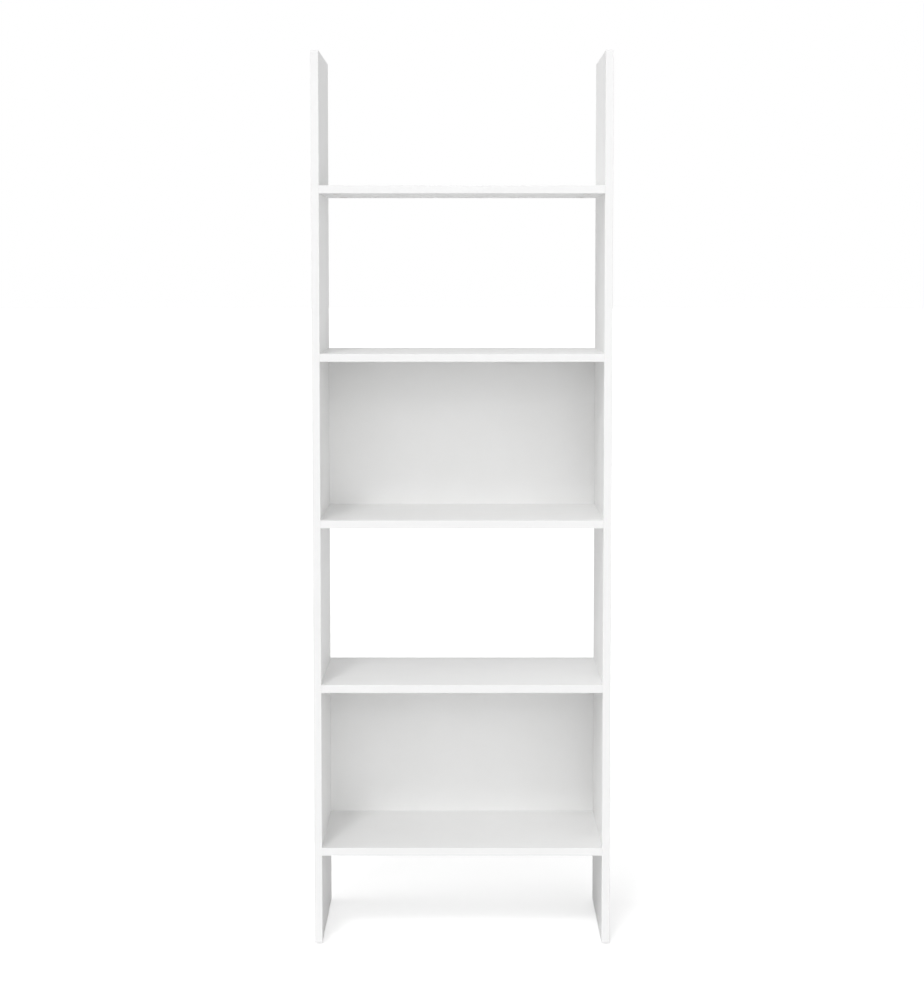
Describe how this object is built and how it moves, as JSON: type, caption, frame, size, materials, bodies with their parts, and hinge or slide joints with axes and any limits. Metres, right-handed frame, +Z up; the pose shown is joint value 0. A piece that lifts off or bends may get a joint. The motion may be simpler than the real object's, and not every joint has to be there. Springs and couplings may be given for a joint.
{
  "type": "open bookshelf",
  "caption": "Tall upright open shelf: full-height side panels carry fixed shelves, and thin back panels close alternate bays.",
  "frame": {"origin": "on the floor under the middle of the shelf, at the centre of the bounding box's base", "axes": "+Z up, +X to the right seen from the front, +Y from the front to the back"},
  "size_m": [0.6, 0.3, 1.803],
  "materials": {
    "white_board": "satin white melamine face on chipboard",
    "white_edging": "satin white plastic edging with rounded edges",
    "white_hardboard": "white lacquer on thin hardboard",
    "cast_zinc": "dull die-cast zinc",
    "zinc_plated_steel": "bright zinc plate",
    "nail_steel": "plain drawn wire",
    "white_cap": "moulded white plastic",
    "beech": "unfinished fluted beech",
    "glide_plastic": "moulded white plastic, scuffed where it slides"
  },
  "bodies": {
    "root": {"bottom_shelf": "white_board", "bottom_shelf_back_strip": "white_edging", "bottom_shelf_front_strip": "white_edging", "cam_bolts": "zinc_plated_steel", "cam_caps": "white_cap", "cam_locks": "cast_zinc", "floor_glides": "glide_plastic", "fourth_shelf": "white_board", "fourth_shelf_back_strip": "white_edging", "fourth_shelf_front_strip": "white_edging", "glide_nails": "nail_steel", "left_side_back_strip": "white_edging", "left_side_bottom_strip": "white_edging", "left_side_front_strip": "white_edging", "left_side_panel": "white_board", "left_side_top_strip": "white_edging", "lower_back_panel": "white_hardboard", "middle_shelf": "white_board", "middle_shelf_back_strip": "white_edging", "middle_shelf_front_strip": "white_edging", "right_side_back_strip": "white_edging", "right_side_bottom_strip": "white_edging", "right_side_front_strip": "white_edging", "right_side_panel": "white_board", "right_side_top_strip": "white_edging", "second_shelf": "white_board", "second_shelf_back_strip": "white_edging", "second_shelf_front_strip": "white_edging", "shelf_dowels": "beech", "top_shelf": "white_board", "top_shelf_back_strip": "white_edging", "top_shelf_front_strip": "white_edging", "upper_back_panel": "white_hardboard"}
  },
  "joints": []
}
